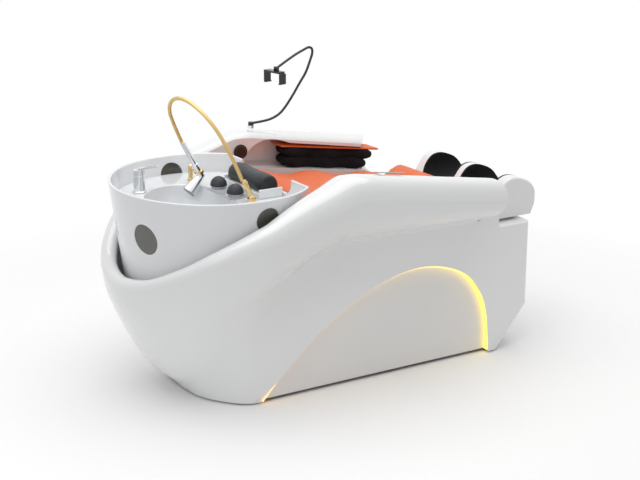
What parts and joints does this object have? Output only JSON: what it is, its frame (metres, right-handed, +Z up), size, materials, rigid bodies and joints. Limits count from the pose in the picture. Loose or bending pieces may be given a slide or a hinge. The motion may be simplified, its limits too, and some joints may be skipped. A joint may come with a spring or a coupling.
{
  "type": "hair washing bed",
  "caption": "Salon hair washing bed: white tub with a raked bow, round basin with handset on a gold hose, orange pad, arm cushions and calf rest.",
  "frame": {"origin": "on the floor under the middle of the bed", "axes": "+X from the head end to the foot end, +Y to the bed's left side, away from the camera, +Z up"},
  "size_m": [1.8444, 1.1244, 1.242],
  "materials": {
    "shell_white": "gloss",
    "basin_white": "gloss",
    "panel_white": "satin",
    "warm_light": "satin",
    "orange_leather": "satin",
    "black_cushion": "matte",
    "black_leather": "satin",
    "black_rubber": "matte",
    "chrome": "polished",
    "gold_metal": "satin",
    "gold_hose": "satin",
    "grey_stand": "gloss",
    "dark_glass": "polished",
    "black_gloss": "gloss",
    "black_coat": "satin",
    "frame_paint": "matte",
    "zinc_steel": "satin",
    "board_wood": "matte",
    "grey_plastic": "matte",
    "strip_grey": "satin"
  },
  "bodies": {
    "bed": {"air_pump": "grey_plastic", "arm_cushion_lower_far": "black_cushion", "arm_cushion_lower_near": "black_cushion", "arm_cushion_upper_far": "black_cushion", "arm_cushion_upper_near": "black_cushion", "arm_lining_far": "orange_leather", "arm_lining_near": "orange_leather", "base_frame": "frame_paint", "basin_bowl": "basin_white", "basin_platform": "basin_white", "basin_skirt": "basin_white", "bed_board": "board_wood", "bed_pad": "orange_leather", "body_shell": "shell_white", "bracket_bolts": "zinc_steel", "control_base": "grey_plastic", "control_strip": "strip_grey", "drain_flange": "chrome", "drain_trap": "grey_plastic", "equipment_tray": "frame_paint", "handset_holder": "gold_metal", "head_rest_pads": "black_rubber", "head_rest_stand": "grey_stand", "hose_nut": "gold_metal", "knee_bolster": "orange_leather", "leg_brackets": "zinc_steel", "leg_rest_stops": "black_rubber", "leg_shaft": "zinc_steel", "levelling_feet": "black_rubber", "light_panel_far": "panel_white", "light_panel_near": "panel_white", "light_strip_far": "warm_light", "light_strip_near": "warm_light", "mixer_body": "chrome", "neck_pillow": "black_leather", "neck_saddle": "basin_white", "phone_clamp": "chrome", "power_supply": "grey_plastic", "shower_hose": "gold_hose", "waste_pipe": "grey_plastic", "water_inlet": "gold_metal", "window_head_far": "dark_glass", "window_head_near": "dark_glass", "window_side_far": "dark_glass", "window_side_near": "dark_glass"},
    "leg_rest_body": {"leg_rest": "shell_white", "leg_rest_liners": "black_cushion"},
    "mixer_cap_body": {"mixer_cap": "chrome"},
    "mixer_lever_body": {"mixer_lever": "chrome"},
    "handset_body": {"handset": "chrome", "spray_face": "grey_plastic"},
    "control_ring_body": {"control_ring": "black_gloss"},
    "control_button_body": {"control_button": "black_gloss"},
    "gooseneck_body": {"gooseneck_arm": "black_coat"},
    "clip_body": {"clip_back": "black_gloss"},
    "clip_jaw_body": {"clip_jaw": "black_gloss"},
    "strainer_body": {"drain_strainer": "chrome"}
  },
  "joints": [
    {"name": "leg_rest_tilt", "type": "hinge", "parent": "bed", "child": "leg_rest_body", "pos_m": [0.722, 0, 0.592], "axis": [0, -1, 0], "range_deg": [0, 12]},
    {"name": "mixer_turn", "type": "hinge", "parent": "bed", "child": "mixer_cap_body", "pos_m": [-0.697, 0.2, 0.85], "axis": [0, 0, 1], "range_deg": [-45, 45]},
    {"name": "mixer_lift", "type": "hinge", "parent": "mixer_cap_body", "child": "mixer_lever_body", "pos_m": [-0.697, 0.2, 0.85933], "axis": [0, -1, 0], "range_deg": [0, 22]},
    {"name": "handset_slide", "type": "slide", "parent": "bed", "child": "handset_body", "axis": [-1, 0, 0], "range_m": [0, 0.06], "deforming": ["shower_hose"]},
    {"name": "control_turn", "type": "hinge", "parent": "bed", "child": "control_ring_body", "pos_m": [-0.132, 0.4, 0.832], "axis": [0, -1, 0], "continuous": true},
    {"name": "control_press", "type": "slide", "parent": "bed", "child": "control_button_body", "axis": [0, 1, 0], "range_m": [0, 0.002], "stiffness_N_per_m": 600, "springref_m": -0.001},
    {"name": "gooseneck_swivel", "type": "hinge", "parent": "bed", "child": "gooseneck_body", "pos_m": [-0.024, 0.5, 0.90576], "axis": [0, 0, 1], "range_deg": [-60, 90]},
    {"name": "clip_tilt", "type": "hinge", "parent": "gooseneck_body", "child": "clip_body", "pos_m": [0.076, 0.446, 1.168], "axis": [0.1942, -0.981, 0], "range_deg": [-30, 30]},
    {"name": "clip_jaw_slide", "type": "slide", "parent": "clip_body", "child": "clip_jaw_body", "axis": [-0.1942, 0.981, 0], "range_m": [0, 0.028]},
    {"name": "strainer_lift", "type": "slide", "parent": "bed", "child": "strainer_body", "axis": [0, 0, 1], "range_m": [0, 0.06]}
  ]
}
